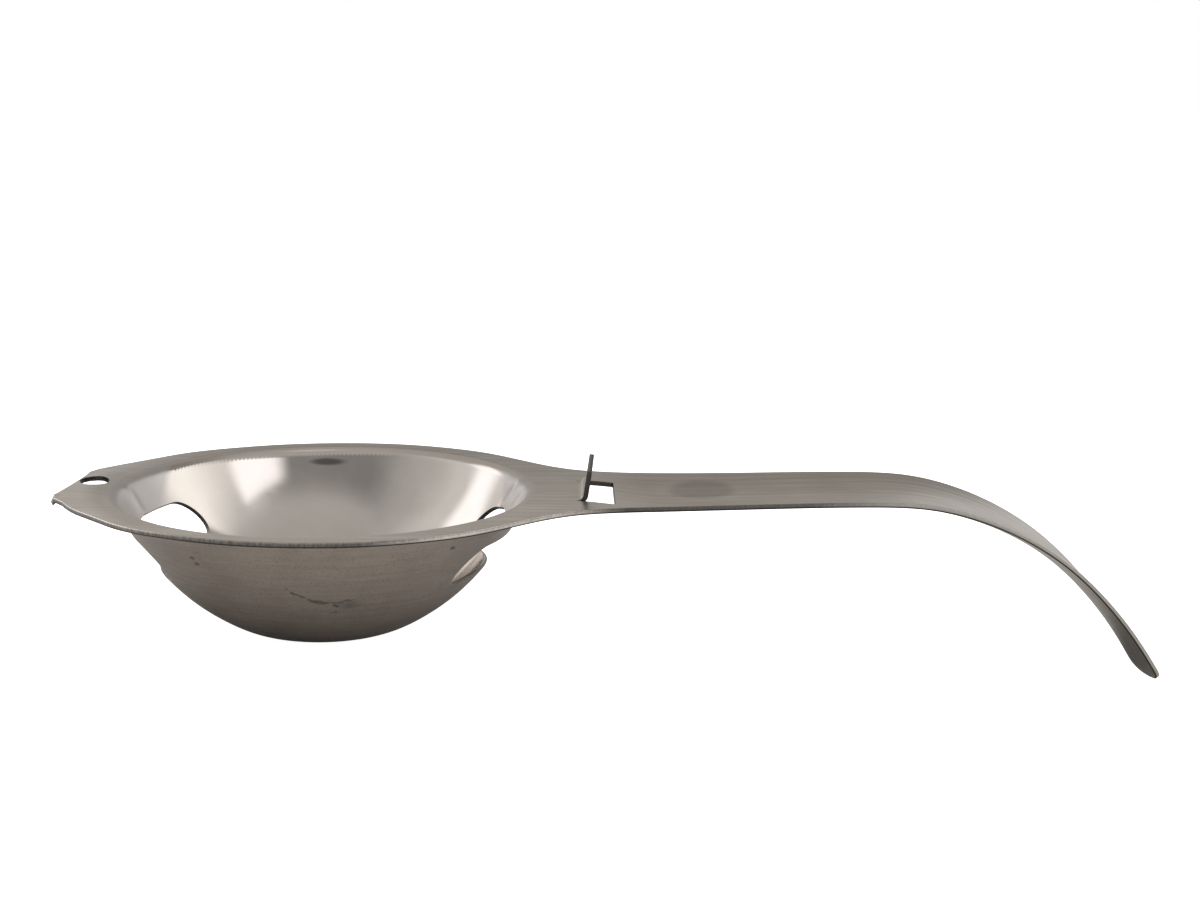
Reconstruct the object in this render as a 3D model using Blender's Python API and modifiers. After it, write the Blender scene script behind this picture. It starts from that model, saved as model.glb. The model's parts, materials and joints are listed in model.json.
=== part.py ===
"""Spouted strainer spoon, pressed from one sheet of stainless steel. Metres, +Z up.

A deep round bowl with a drain slot at each end hangs from a flat rim. The rim runs out into a
horned front lip on the -X side and into a dished handle on the +X side, which turns down at its
end. A tab cut from the handle stands up behind the bowl. Every object here is one region of that
sheet, drawn first with the rim level and then leaned until bowl and handle end touch the table.
"""
import math

import bmesh
import bpy
import numpy as np
from mathutils import Matrix, Vector

MM = 0.001
GAP = 0.3 * MM
MERGE = 0.00001
SHEET = 0.9 * MM

# Bowl, a surface of revolution about Z. Radii and depths are those of its inner face. The bowl's
# node ends at JOIN_RADIUS, where the bend has hardly left the level of the rim.
MOUTH_RADIUS = 38.2 * MM
JOIN_RADIUS = 37.6 * MM
BEND_RADIUS = 2.5 * MM
BEND_ANGLE = math.radians(60)
BOWL_PROFILE = [(32.6, -7.1), (29.0, -12.3), (24.6, -17.1), (19.4, -21.1), (14.2, -23.8), (7.2, -24.7),
                (0, -24.9)]
TURN_STEPS = 64

# Drain slots, punched along X through both ends of the bowl: their middles and half-lengths along Y.
SLOTS = {"front": (-1, 0.0, 17.6 * MM), "back": (1, -1.5 * MM, 16.9 * MM)}
SLOT_END_RADIUS = 3.5 * MM
SLOT_HEIGHT = -9.8 * MM
SLOT_PINCH_BOTTOM = 0.6 * MM

# Plan outline: half-widths of rim and handle along X.
RIM_PLAN = [(-44.1, 12.8), (-42.0, 16.4), (-39.3, 20.0), (-36.0, 23.8), (-31.1, 29.3), (-24.2, 34.2),
            (-12.0, 39.4), (0, 41.2), (10.8, 40.3), (21.6, 36.4), (28.8, 31.8), (36.0, 24.7), (43.2, 18.4),
            (50.4, 15.5), (59.4, 14.3), (75.6, 13.5), (97.2, 13.1), (125.0, 12.4), (160.0, 11.3)]
LIP_START = -33.0 * MM
FLANK_END = -43.6 * MM
HORN_TIP = (-45.45 * MM, 10.3 * MM)
LIP_FRONT = -44.45 * MM
LIP_SKEW = 0.1
LIP_HOLE = (-41.45 * MM, 1.55 * MM)
LIP_HOLE_HALF_DEPTH = 2.45 * MM
LIP_HOLE_HALF_WIDTH = 3.65 * MM
LIP_RISE = 0.75 * MM
LIP_RISE_START = -36.0 * MM
LIP_RISE_END = -41.5 * MM
LIP_RISE_HALF_WIDTH = 20 * MM

# Handle: height of its two edges along X, and how far its middle is dished below them.
EDGE_HEIGHT = [(35.0, 0), (54.0, 0.05), (75.0, 0.45), (97.2, 0.9), (108.0, 0.34), (117.0, -1.9),
               (126.0, -5.9), (133.2, -10.7), (140.4, -17.5), (145.8, -24.1), (151.2, -32.4), (156.0, -41.0)]
DISH_DEPTH = 1.7 * MM
DISH_DEPTH_END = 1.2 * MM
DISH_START = 46.0 * MM
DISH_FULL = 62.0 * MM
ROOT_START = 33.0 * MM
GRIP_START = 101.0 * MM
HANDLE_TIP = 150.8 * MM
TIP_CORNER = 1.8 * MM
TIP_BOW = 0.5 * MM
ACROSS = 8

# Tab, cut from the window behind it and bent up.
WINDOW_BACK = 45.6 * MM
WINDOW_FRONT = 52.2 * MM
WINDOW_FAR_SIDE = 7.4 * MM
WINDOW_NEAR_SIDES = (-9.1 * MM, -10.6 * MM)
TAB_SIDES = (-9.0 * MM, 7.3 * MM)
TAB_HEIGHT = 5.15 * MM
TAB_LEAN = math.radians(8)
TAB_BEND_RADIUS = 1.0 * MM
TAB_SHEET = 0.85 * MM


def spline(points, unit=MM):
    """Natural cubic spline through (x, y) points, as a function of x that also takes arrays."""
    xs, ys = np.array(sorted(points), float).T * unit
    step = np.diff(xs)
    system = np.eye(len(xs))
    right = np.zeros(len(xs))
    for i in range(1, len(xs) - 1):
        system[i, i - 1:i + 2] = step[i - 1], 2 * (step[i - 1] + step[i]), step[i]
        right[i] = 6 * ((ys[i + 1] - ys[i]) / step[i] - (ys[i] - ys[i - 1]) / step[i - 1])
    bend = np.linalg.solve(system, right)

    def value(x):
        i = np.clip(np.searchsorted(xs, x) - 1, 0, len(step) - 1)
        left, ahead, h = x - xs[i], xs[i + 1] - x, step[i]
        curve = bend[i] * ahead ** 3 / (6 * h) + bend[i + 1] * left ** 3 / (6 * h)
        return curve + (ys[i] / h - bend[i] * h / 6) * ahead + (ys[i + 1] / h - bend[i + 1] * h / 6) * left
    return value


half_width = spline(RIM_PLAN)
edge_height = spline(EDGE_HEIGHT)


def smooth(x, start, end):
    """0 before start, 1 after end, and an even S-curve between them."""
    t = np.clip((x - start) / (end - start), 0, 1)
    return t * t * (3 - 2 * t)


def edge_slope(x):
    return (edge_height(x + GAP) - edge_height(x - GAP)) / (2 * GAP)


def dish(x):
    """Depth of the handle's trough at x, square to the sheet."""
    fade = np.clip((x - DISH_FULL) / (HANDLE_TIP - DISH_FULL), 0, 1)
    return smooth(x, DISH_START, DISH_FULL) * (DISH_DEPTH + (DISH_DEPTH_END - DISH_DEPTH) * fade)


def handle_top(x, y):
    """Height of the handle's upper face."""
    depth = dish(x) * math.sqrt(1 + edge_slope(x) ** 2)
    edge = edge_height(x) * smooth(x, ROOT_START, DISH_START)
    return edge - depth * (1 - (y / half_width(x)) ** 2)


def lip_top(x, y):
    """Height of the lip's upper face, which domes up a little around its hole."""
    across = 1 - smooth(abs(y), 0, LIP_RISE_HALF_WIDTH)
    return LIP_RISE * smooth(-x, -LIP_RISE_START, -LIP_RISE_END) * across


# ---- Blender helpers

def collection(name):
    made = bpy.data.collections.new(name)
    bpy.context.scene.collection.children.link(made)
    return made


def steel(name, colour, roughness):
    material = bpy.data.materials.new(name)
    material.use_nodes = True
    surface = material.node_tree.nodes["Principled BSDF"]
    surface.inputs["Base Color"].default_value = (*colour, 1)
    surface.inputs["Metallic"].default_value = 1.0
    surface.inputs["Roughness"].default_value = roughness
    return material


def add_object(name, data, group, material=None):
    made = bpy.data.objects.new(name, data)
    group.objects.link(made)
    if material:
        data.materials.append(material)
    return made


def flat_curve(name, outline, thickness, group):
    """Filled 2D curve in the XY plane, extruded evenly to both sides of it."""
    data = bpy.data.curves.new(name, "CURVE")
    data.dimensions = "2D"
    data.fill_mode = "BOTH"
    data.extrude = thickness / 2
    line = data.splines.new("POLY")
    line.points.add(len(outline) - 1)
    line.use_cyclic_u = True
    for point, (x, y) in zip(line.points, outline):
        point.co = (x, y, 0, 1)
    return add_object(name, data, group)


def as_mesh(curve, group, material=None):
    """Turns a curve object into a closed mesh object of the same name."""
    bpy.context.view_layer.update()
    data = bpy.data.meshes.new_from_object(curve.evaluated_get(bpy.context.evaluated_depsgraph_get()))
    place, name = curve.matrix_world.copy(), curve.name
    bpy.data.objects.remove(curve)
    mesh = bmesh.new()
    mesh.from_mesh(data)
    bmesh.ops.remove_doubles(mesh, verts=mesh.verts, dist=MERGE)
    mesh.to_mesh(data)
    mesh.free()
    data.name = name
    made = add_object(name, data, group, material)
    made.matrix_world = place
    return made


def cut(target, cutter, operation="DIFFERENCE"):
    modifier = target.modifiers.new(cutter.name, "BOOLEAN")
    modifier.operation = operation
    modifier.solver = "EXACT"
    modifier.object = cutter
    cutter.hide_render = True
    cutter.display_type = "WIRE"


def prism(name, outline, group, height=30 * MM):
    """Tall upright cutter with the given plan outline."""
    return as_mesh(flat_curve(name, outline, height, group), group)


def sheet_from_grid(name, place, along, across, group, material):
    """Grid with points at place(u, v), u from 0 to 1 and v from -1 to 1, given the sheet's thickness."""
    data = bpy.data.meshes.new(name)
    mesh = bmesh.new()
    bmesh.ops.create_grid(mesh, x_segments=along, y_segments=across, size=1)
    for vert in mesh.verts:
        vert.co = place((vert.co.x + 1) / 2, vert.co.y)
    mesh.to_mesh(data)
    mesh.free()
    made = add_object(name, data, group, material)
    thicken = made.modifiers.new("sheet", "SOLIDIFY")
    thicken.thickness = SHEET
    thicken.offset = -1
    thicken.use_even_offset = True
    return made


# ---- Regions of the sheet

def bend_points(count=5):
    """Inner face of the bend between rim and bowl, from the bowl's end at the rim inwards."""
    start = math.asin((MOUTH_RADIUS - JOIN_RADIUS + GAP / 2) / BEND_RADIUS)
    angles = np.linspace(start, BEND_ANGLE, count)
    return [(MOUTH_RADIUS - BEND_RADIUS * math.sin(a), -BEND_RADIUS * (1 - math.cos(a))) for a in angles]


def bowl_inner(count=15):
    """Inner profile of the bowl from the rim to its axis: the bend, then a smooth wall and floor."""
    bend = bend_points()
    stations = [(r / MM, z / MM) for r, z in bend[-1:]] + BOWL_PROFILE
    mirrored = [(-r, z) for r, z in stations if r > 0]
    wall = spline(mirrored + stations)
    radii = bend[-1][0] * np.sin(np.linspace(math.pi / 2, 0, count))
    return bend + [(r, float(wall(r))) for r in radii[1:]]


def bowl_outer(inner):
    """The inner profile moved one sheet thickness outwards."""
    points = np.array(inner)
    along = np.gradient(points, axis=0)
    along[0] = (-1, 0)
    along[-1] = (-1, 0)
    along /= np.linalg.norm(along, axis=1)[:, None]
    outer = points + SHEET * np.stack([-along[:, 1], along[:, 0]], axis=1)
    outer[-1, 0] = 0
    return [tuple(point) for point in outer]


def make_bowl(group, cutters, material):
    inner = bowl_inner()
    ring = bowl_outer(inner) + inner[::-1]
    data = bpy.data.meshes.new("strainer_bowl")
    mesh = bmesh.new()
    verts = [mesh.verts.new((r, 0, z)) for r, z in ring]
    for first, second in zip(verts, verts[1:] + verts[:1]):
        if first.co.x > MERGE or second.co.x > MERGE:
            mesh.edges.new((first, second))
    mesh.to_mesh(data)
    mesh.free()
    bowl = add_object("strainer_bowl", data, group, material)
    turn = bowl.modifiers.new("turn", "SCREW")
    turn.axis = "Z"
    turn.steps = turn.render_steps = TURN_STEPS
    turn.use_merge_vertices = True
    turn.merge_threshold = MERGE
    for name, (side, middle, half_length) in SLOTS.items():
        punch = prism(name + "_slot_punch", slot_outline(half_length), cutters, MOUTH_RADIUS)
        upright = Matrix.Rotation(math.pi / 2, 4, "Z") @ Matrix.Rotation(math.pi / 2, 4, "X")
        punch.matrix_world = Matrix.Translation((side * MOUTH_RADIUS, middle, SLOT_HEIGHT)) @ upright
        cut(bowl, punch)
    return bowl


def slot_outline(half_length, steps=8):
    """Slot seen along X, about its middle: a stadium whose bottom edge arches up a little."""
    straight = half_length - SLOT_END_RADIUS
    top = [(y, SLOT_END_RADIUS) for y in np.linspace(0, straight, steps // 2, endpoint=False)]
    end = [(straight + SLOT_END_RADIUS * math.cos(a), SLOT_END_RADIUS * math.sin(a))
           for a in np.linspace(math.pi / 2, -math.pi / 2, 2 * steps + 1)]
    bottom = [(y, -z + SLOT_PINCH_BOTTOM * (1 - (y / straight) ** 2)) for y, z in top[::-1]]
    right = top + end + bottom
    return right + [(-y, z) for y, z in right[::-1] if y > 0]


def arc(radius, start, end, count):
    """Points on a circle about the bowl's axis, between two angles."""
    return [(radius * math.cos(a), radius * math.sin(a)) for a in np.linspace(start, end, count)]


def make_rim_half(name, side, group, material):
    """Half of the flat rim, a crescent between the lip and the handle root. side is +1 at +Y."""
    inner_radius = JOIN_RADIUS + GAP / 2
    back, front = LIP_START + GAP / 2, ROOT_START - GAP / 2
    outer = [(x, float(half_width(x))) for x in np.linspace(back, front, 22)]
    inner = arc(inner_radius, math.acos(front / inner_radius), math.acos(back / inner_radius), 28)
    outline = [(x, side * y) for x, y in outer + inner]
    rim = as_mesh(flat_curve(name, outline, SHEET, group), group, material)
    rim.location.z = -SHEET / 2
    return rim


def lip_outline():
    """Plan of the front lip: tapering flanks, two horns, and a shallow, skewed hollow between them."""
    back = LIP_START - GAP / 2
    flank = [(x, float(half_width(x))) for x in np.linspace(back, FLANK_END, 10)]
    hollow = LIP_FRONT - HORN_TIP[0]
    front = [(LIP_FRONT - hollow * (y / HORN_TIP[1]) ** 2 + LIP_SKEW * y, y)
             for y in np.linspace(1, -1, 11) * HORN_TIP[1]]
    return flank + front + [(x, -y) for x, y in flank[::-1]]


def lip_hole_outline(count=20):
    """Lens-shaped hole with blunt ends, just behind the front edge."""
    angles = np.linspace(0, 2 * math.pi, count, endpoint=False)
    x, y = LIP_HOLE
    return [(x + LIP_HOLE_HALF_DEPTH * math.cos(a), y + LIP_HOLE_HALF_WIDTH * math.sin(a)) for a in angles]


def make_lip(group, cutters, material):
    margin = 2 * MM
    back, front = LIP_START + margin, HORN_TIP[0] - margin
    wide = half_width(LIP_START) + margin

    def place(u, v):
        x, y = front + (back - front) * u, wide * v
        return (x, y, lip_top(x, y))
    lip = sheet_from_grid("front_lip", place, 14, 12, group, material)
    cut(lip, prism("lip_outline", lip_outline(), cutters), "INTERSECT")
    cut(lip, prism("lip_mouth_cut", arc(JOIN_RADIUS + GAP / 2, 0, 2 * math.pi, 73)[:-1], cutters))
    cut(lip, prism("lip_hole_cut", lip_hole_outline(), cutters))
    return lip


def make_root(group, cutters, material):
    """Handle from the bowl to the start of its curved end, with the window that the tab came from."""
    def place(u, v):
        x = ROOT_START + GAP / 2 + (GRIP_START - ROOT_START - GAP) * u ** 1.2
        y = float(half_width(x)) * v
        return (x, y, handle_top(x, y))
    root = sheet_from_grid("handle_root", place, 20, ACROSS, group, material)
    cut(root, prism("root_mouth_cut", arc(JOIN_RADIUS + GAP / 2, 0, 2 * math.pi, 73)[:-1], cutters))
    window = [(WINDOW_BACK, WINDOW_NEAR_SIDES[0]), (WINDOW_FRONT, WINDOW_NEAR_SIDES[1]),
              (WINDOW_FRONT, WINDOW_FAR_SIDE), (WINDOW_BACK, WINDOW_FAR_SIDE)]
    cut(root, prism("window_cut", window, cutters))
    return root


def make_grip(group, material):
    """Curved-down end of the handle, with rounded corners and a slightly bowed tip."""
    xs = np.linspace(GRIP_START + GAP / 2, HANDLE_TIP, 200)
    run = np.concatenate([[0], np.cumsum(np.hypot(np.diff(xs), np.diff(edge_height(xs))))])
    full = run[-1]
    rounding_from = full - 2 * TIP_CORNER
    tip_width = float(half_width(HANDLE_TIP))

    def reach(v):
        """How far along the sheet the tip lies, v of the way from its middle to its side."""
        past = max(0.0, abs(v) * tip_width - (tip_width - TIP_CORNER))
        corner = TIP_CORNER - math.sqrt(TIP_CORNER ** 2 - past ** 2)
        return full - corner - TIP_BOW * v * v

    def place(u, v):
        s = full * u
        y = float(half_width(np.interp(s, run, xs))) * v
        if s > rounding_from:
            s = rounding_from + (s - rounding_from) * (reach(v) - rounding_from) / (full - rounding_from)
        x = float(np.interp(s, run, xs))
        slope = edge_slope(x)
        depth = dish(x) * (1 - v * v)
        turn = math.sqrt(1 + slope * slope)
        return (x + depth * slope / turn, y, float(edge_height(x)) - depth / turn)
    return sheet_from_grid("handle_grip", place, 22, ACROSS, group, material)


def make_tab(group, material):
    """Tab bent up from the back edge of the window, leaning towards the handle."""
    turned = math.pi / 2 - TAB_LEAN
    foot = WINDOW_BACK + GAP
    angles = np.linspace(0, turned, 6)
    inner = [(foot + TAB_BEND_RADIUS * math.sin(a), TAB_BEND_RADIUS * (1 - math.cos(a))) for a in angles]
    outside = TAB_BEND_RADIUS + TAB_SHEET
    outer = [(foot + outside * math.sin(a), TAB_BEND_RADIUS - outside * math.cos(a)) for a in angles]
    rise = (TAB_HEIGHT - inner[-1][1]) / math.sin(turned)
    reach = (rise * math.cos(turned), rise * math.sin(turned))
    inner.append((inner[-1][0] + reach[0], inner[-1][1] + reach[1]))
    outer.append((outer[-1][0] + reach[0], outer[-1][1] + reach[1]))
    width = TAB_SIDES[1] - TAB_SIDES[0]
    tab = as_mesh(flat_curve("rest_tab", outer + inner[::-1], width, group), group, material)
    middle = Vector((0, sum(TAB_SIDES) / 2, 0))
    tab.matrix_world = Matrix.Translation(middle) @ Matrix.Rotation(math.pi / 2, 4, "X")
    return tab


# ---- Rest pose

def world_points(made):
    evaluated = made.evaluated_get(bpy.context.evaluated_depsgraph_get())
    data = evaluated.to_mesh()
    points = np.array([made.matrix_world @ vert.co for vert in data.vertices])
    evaluated.to_mesh_clear()
    return points


def leaned(points, angle):
    return points @ np.array(Matrix.Rotation(angle, 3, "Y")).T


def lean_angle(bowl, grip):
    """Turn about Y that brings the lowest points of bowl and handle end to one height."""
    most, least = math.radians(-15), 0.0
    while least - most > 1e-7:
        angle = (most + least) / 2
        if leaned(bowl, angle)[:, 2].min() < leaned(grip, angle)[:, 2].min():
            most = angle
        else:
            least = angle
    return least


def stand_on_table(pieces, cutters):
    """Parents everything to an empty that leans the part on the XY plane, centred on the origin."""
    bpy.context.view_layer.update()
    points = {piece.name: world_points(piece) for piece in pieces}
    angle = lean_angle(points["strainer_bowl"], points["handle_grip"])
    everything = leaned(np.vstack(list(points.values())), angle)
    low, high = everything.min(axis=0), everything.max(axis=0)
    pose = bpy.data.objects.new("rest_pose", None)
    pieces[0].users_collection[0].objects.link(pose)
    pose.rotation_euler.y = angle
    pose.location = (-(low[0] + high[0]) / 2, -(low[1] + high[1]) / 2, -low[2])
    for member in pieces + cutters:
        member.parent = pose


def build():
    for old in list(bpy.data.objects):
        bpy.data.objects.remove(old)
    parts = collection("strainer_spoon")
    cutters = collection("cutters")
    satin = steel("satin_steel", (0.55, 0.53, 0.51), 0.36)
    polished = steel("drawn_steel", (0.58, 0.56, 0.53), 0.24)
    pieces = [
        make_bowl(parts, cutters, polished),
        make_rim_half("left_rim", -1, parts, satin.copy()),
        make_rim_half("right_rim", 1, parts, satin.copy()),
        make_lip(parts, cutters, satin.copy()),
        make_root(parts, cutters, satin.copy()),
        make_grip(parts, satin.copy()),
        make_tab(parts, satin.copy()),
    ]
    stand_on_table(pieces, list(cutters.objects))


build()
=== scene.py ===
"""Looks of the strainer spoon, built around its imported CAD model.

The real object is one pressed sheet of stainless steel. Its fine surface is made here in one go: the
flat blank's plan is triangulated, every point is lifted onto the sheet's shape, and the sheet is given
its thickness with rounded, sheared edges. It is then parted into one closed piece for each CAD node.
The pieces share their borders point for point, so the steel runs on from one to the next.

Lengths are in millimetres in the design frame until a mesh is made: the rim's upper face is at z = 0,
the bowl's axis is at the origin and +X runs to the handle.
"""
import json
import math

import bmesh
import bpy
import numpy as np
from mathutils import Matrix, Vector
from mathutils.geometry import delaunay_2d_cdt


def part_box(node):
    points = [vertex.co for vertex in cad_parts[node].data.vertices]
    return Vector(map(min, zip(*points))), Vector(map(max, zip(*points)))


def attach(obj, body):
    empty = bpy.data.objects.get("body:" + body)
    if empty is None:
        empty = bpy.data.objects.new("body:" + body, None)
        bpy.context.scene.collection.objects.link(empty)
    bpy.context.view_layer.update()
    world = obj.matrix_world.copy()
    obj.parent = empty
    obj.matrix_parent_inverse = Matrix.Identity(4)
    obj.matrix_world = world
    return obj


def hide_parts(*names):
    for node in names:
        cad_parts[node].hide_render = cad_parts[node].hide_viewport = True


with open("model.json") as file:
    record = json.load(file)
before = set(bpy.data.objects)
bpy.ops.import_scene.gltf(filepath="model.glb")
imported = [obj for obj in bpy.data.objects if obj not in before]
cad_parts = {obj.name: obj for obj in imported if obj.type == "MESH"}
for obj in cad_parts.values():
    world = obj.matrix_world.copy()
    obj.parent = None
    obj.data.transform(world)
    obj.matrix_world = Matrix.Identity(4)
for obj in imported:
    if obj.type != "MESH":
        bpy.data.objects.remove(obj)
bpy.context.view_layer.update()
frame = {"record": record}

MM = 0.001

# The sheet and the finish of its cut edges.
SHEET = 0.89
EDGE_ROUND = 0.13
EDGE_STEPS = 4

# Bowl, turned about Z: the sizes of its inner face, as in the CAD model.
MOUTH_RADIUS = 38.2
JOIN_RADIUS = 37.6
BEND_RADIUS = 2.5
BEND_ANGLE = math.radians(60)
BOWL_PROFILE = [(32.6, -7.1), (29.0, -12.3), (24.6, -17.1), (19.4, -21.1), (14.2, -23.8), (7.2, -24.7),
                (0, -24.9)]

# Drain slots at both ends of the bowl: side, middle and half-length along Y.
SLOTS = [(-1, 0.0, 17.6), (1, -1.5, 16.9)]
SLOT_END_RADIUS = 3.5
SLOT_HEIGHT = -9.8
SLOT_PINCH_BOTTOM = 0.6
SLOT_SEARCH_START = 15

# Plan of the blank.
RIM_PLAN = [(-44.1, 12.8), (-42.0, 16.4), (-39.3, 20.0), (-36.0, 23.8), (-31.1, 29.3), (-24.2, 34.2),
            (-12.0, 39.4), (0, 41.2), (10.8, 40.3), (21.6, 36.4), (28.8, 31.8), (36.0, 24.7), (43.2, 18.4),
            (50.4, 15.5), (59.4, 14.3), (75.6, 13.5), (97.2, 13.1), (125.0, 12.4), (160.0, 11.3)]
LIP_START = -33.0
FLANK_END = -43.6
HORN_TIP = (-45.45, 10.3)
LIP_FRONT = -44.45
LIP_SKEW = 0.1
LIP_HOLE = (-41.45, 1.55)
LIP_HOLE_HALF_DEPTH = 2.45
LIP_HOLE_HALF_WIDTH = 3.65
LIP_RISE = 0.75
LIP_RISE_START = 36.0
LIP_RISE_END = 41.5
LIP_RISE_HALF_WIDTH = 20.0
HORN_DROOP = 0.9
HORN_DROOP_REACH = 1.3

# Dents left by the press in the two narrow lands between slot and mouth: X, Y, rise and half-size.
LAND_DENTS = [(-34.7, 3.0, 0.8, 1.6), (33.2, 9.0, 1.0, 2.4), (34.0, 4.0, 0.6, 2.0)]

# Handle.
EDGE_HEIGHT = [(35.0, 0), (54.0, 0.05), (75.0, 0.45), (97.2, 0.9), (108.0, 0.34), (117.0, -1.9),
               (126.0, -5.9), (133.2, -10.7), (140.4, -17.5), (145.8, -24.1), (151.2, -32.4), (156.0, -41.0)]
DISH_DEPTH = 1.7
DISH_DEPTH_END = 1.2
DISH_START = 46.0
DISH_FULL = 62.0
ROOT_START = 33.0
GRIP_START = 101.0
HANDLE_TIP = 150.72
SLOPE_STEP = 0.3
TIP_CORNER = 1.8
TIP_BOW = 0.5

# Tab and its window.
WINDOW_BACK = 45.6
WINDOW_FRONT = 52.2
WINDOW_FAR_SIDE = 7.4
WINDOW_NEAR_SIDES = (-9.1, -10.6)
WINDOW_CORNER = 0.35
TAB_SIDES = (-9.0, 7.3)
TAB_HEIGHT = 5.15
TAB_TURN = math.radians(82)
TAB_SKEW = 0.04
TAB_BEND_RADIUS = 1.0
TAB_CORNER = 0.5
TAB_ALLOWANCE = 0.1

# Where the mount on the rim's upper face stands.
MOUNT_AT = (-29, 26.5, 0)

# Roundings of the blank's corners in the plan.
FAR_HORN_ROUND = 0.35
NEAR_HORN_ROUND = 0.17
FLANK_ROUND = 1.2
CORNER_STEPS = 5

# Fineness of the mesh: gaps between plan points, and where each kind of point starts and ends.
POINT_GAP = 0.85
BEND_GAP = 0.3
RIM_GAP = 1.1
ROW_GAP = 0.9
LINE_GAP = 0.6
MOUTH_GAP = 0.7
LINE_CLEARANCE = 0.42
BORDER_OVERRUN = 1
BOWL_POINTS_END = 35.6
BEND_POINTS = (35.8, 38.6)
RIM_POINTS = (39.2, 60)
RING_TURN = 0.37
RINGS_END = 44
ROWS_START = 44.3
ROW_COUNT = 25
ROW_SHARE = 0.985

# Coordinates of the steel's grain, and of the map that its direction is read from.
GRAIN_RADIUS = 30
GRAIN_RISE = 1.2
RUN_SPAN = (-60, 160)
RUN_LEVEL_END = 40
MAP_LENGTH = 250
MAP_SHIFT = 0.4
# How far from a hole's edge its painted shade reaches.
HOLE_EDGE_REACH = 0.8


# ---- Shape of the sheet

def spline(points):
    """Natural cubic spline through (x, y) points, as a function of an array."""
    xs, ys = np.array(sorted(points), float).T
    step = np.diff(xs)
    system = np.eye(len(xs))
    right = np.zeros(len(xs))
    for i in range(1, len(xs) - 1):
        system[i, i - 1:i + 2] = step[i - 1], 2 * (step[i - 1] + step[i]), step[i]
        right[i] = 6 * ((ys[i + 1] - ys[i]) / step[i] - (ys[i] - ys[i - 1]) / step[i - 1])
    bend = np.linalg.solve(system, right)

    def value(x):
        i = np.clip(np.searchsorted(xs, x) - 1, 0, len(step) - 1)
        left, ahead, h = x - xs[i], xs[i + 1] - x, step[i]
        bowed = bend[i] * ahead ** 3 / (6 * h) + bend[i + 1] * left ** 3 / (6 * h)
        return bowed + (ys[i] / h - bend[i] * h / 6) * ahead + (ys[i + 1] / h - bend[i + 1] * h / 6) * left
    return value


def smooth(x, start, end):
    """0 before start, 1 after end, and an even S-curve between them."""
    t = np.clip((x - start) / (end - start), 0, 1)
    return t * t * (3 - 2 * t)


# Radius and height at which the bend at the mouth ends on the bowl's wall.
BEND_END = (MOUTH_RADIUS - BEND_RADIUS * math.sin(BEND_ANGLE), -BEND_RADIUS * (1 - math.cos(BEND_ANGLE)))
half_width = spline(RIM_PLAN)
edge_height = spline(EDGE_HEIGHT)
bowl_wall = spline([(-r, z) for r, z in [BEND_END] + BOWL_PROFILE if r > 0] + [BEND_END] + BOWL_PROFILE)
# Plan of the near horn's tip, which droops.
HORN_AT = (HORN_TIP[0] - LIP_SKEW * HORN_TIP[1], -HORN_TIP[1])


def bowl_height(r):
    """Height of the bowl's inner face and of the bend at its mouth, at a radius."""
    bend = BEND_RADIUS - np.sqrt(np.clip(BEND_RADIUS ** 2 - (MOUTH_RADIUS - r) ** 2, 0, None))
    return np.where(r > MOUTH_RADIUS, 0, np.where(r > BEND_END[0], -bend, bowl_wall(r)))


def edge_slope(x):
    """Slope of the handle's side edges at x."""
    return (edge_height(x + SLOPE_STEP) - edge_height(x - SLOPE_STEP)) / (2 * SLOPE_STEP)


def dish(x):
    """Depth of the handle's trough at x, square to the sheet."""
    fade = np.clip((x - DISH_FULL) / (HANDLE_TIP - DISH_FULL), 0, 1)
    return smooth(x, DISH_START, DISH_FULL) * (DISH_DEPTH + (DISH_DEPTH_END - DISH_DEPTH) * fade)


def height(x, y):
    """Height of the sheet's upper face over the plan, before the tab is bent up."""
    lip = LIP_RISE * smooth(-x, LIP_RISE_START, LIP_RISE_END) * (1 - smooth(abs(y), 0, LIP_RISE_HALF_WIDTH))
    horn = HORN_DROOP * (1 - smooth(np.hypot(x - HORN_AT[0], y - HORN_AT[1]), 0, HORN_DROOP_REACH))
    depth = dish(x) * np.sqrt(1 + edge_slope(x) ** 2)
    handle = edge_height(x) * smooth(x, ROOT_START, DISH_START) - depth * (1 - (y / half_width(x)) ** 2)
    dents = sum(rise * np.exp(-((x - at_x) ** 2 + (y - at_y) ** 2) / size ** 2)
                for at_x, at_y, rise, size in LAND_DENTS)
    dents = dents * smooth(MOUTH_RADIUS - np.hypot(x, y), 0, BEND_RADIUS)
    return bowl_height(np.hypot(x, y)) + lip - horn + dents + np.where(x > ROOT_START, handle, 0)


def tab_length():
    """Length of the tab in the flat blank."""
    bent = TAB_BEND_RADIUS * (1 - math.cos(TAB_TURN))
    return TAB_BEND_RADIUS * TAB_TURN + (TAB_HEIGHT - bent) / math.sin(TAB_TURN)


def slit_middles():
    """Y of the middle of the slit on the tab's near and far side, at the tab's root."""
    return (TAB_SIDES[0] + WINDOW_NEAR_SIDES[0]) / 2, (TAB_SIDES[1] + WINDOW_FAR_SIDE) / 2


def on_tab(x, y):
    """Which plan points of the blank lie on the tab."""
    near, far = slit_middles()
    return (x > WINDOW_BACK) & (x < WINDOW_BACK + tab_length() + TAB_ALLOWANCE) & (y > near) & (y < far)


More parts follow.
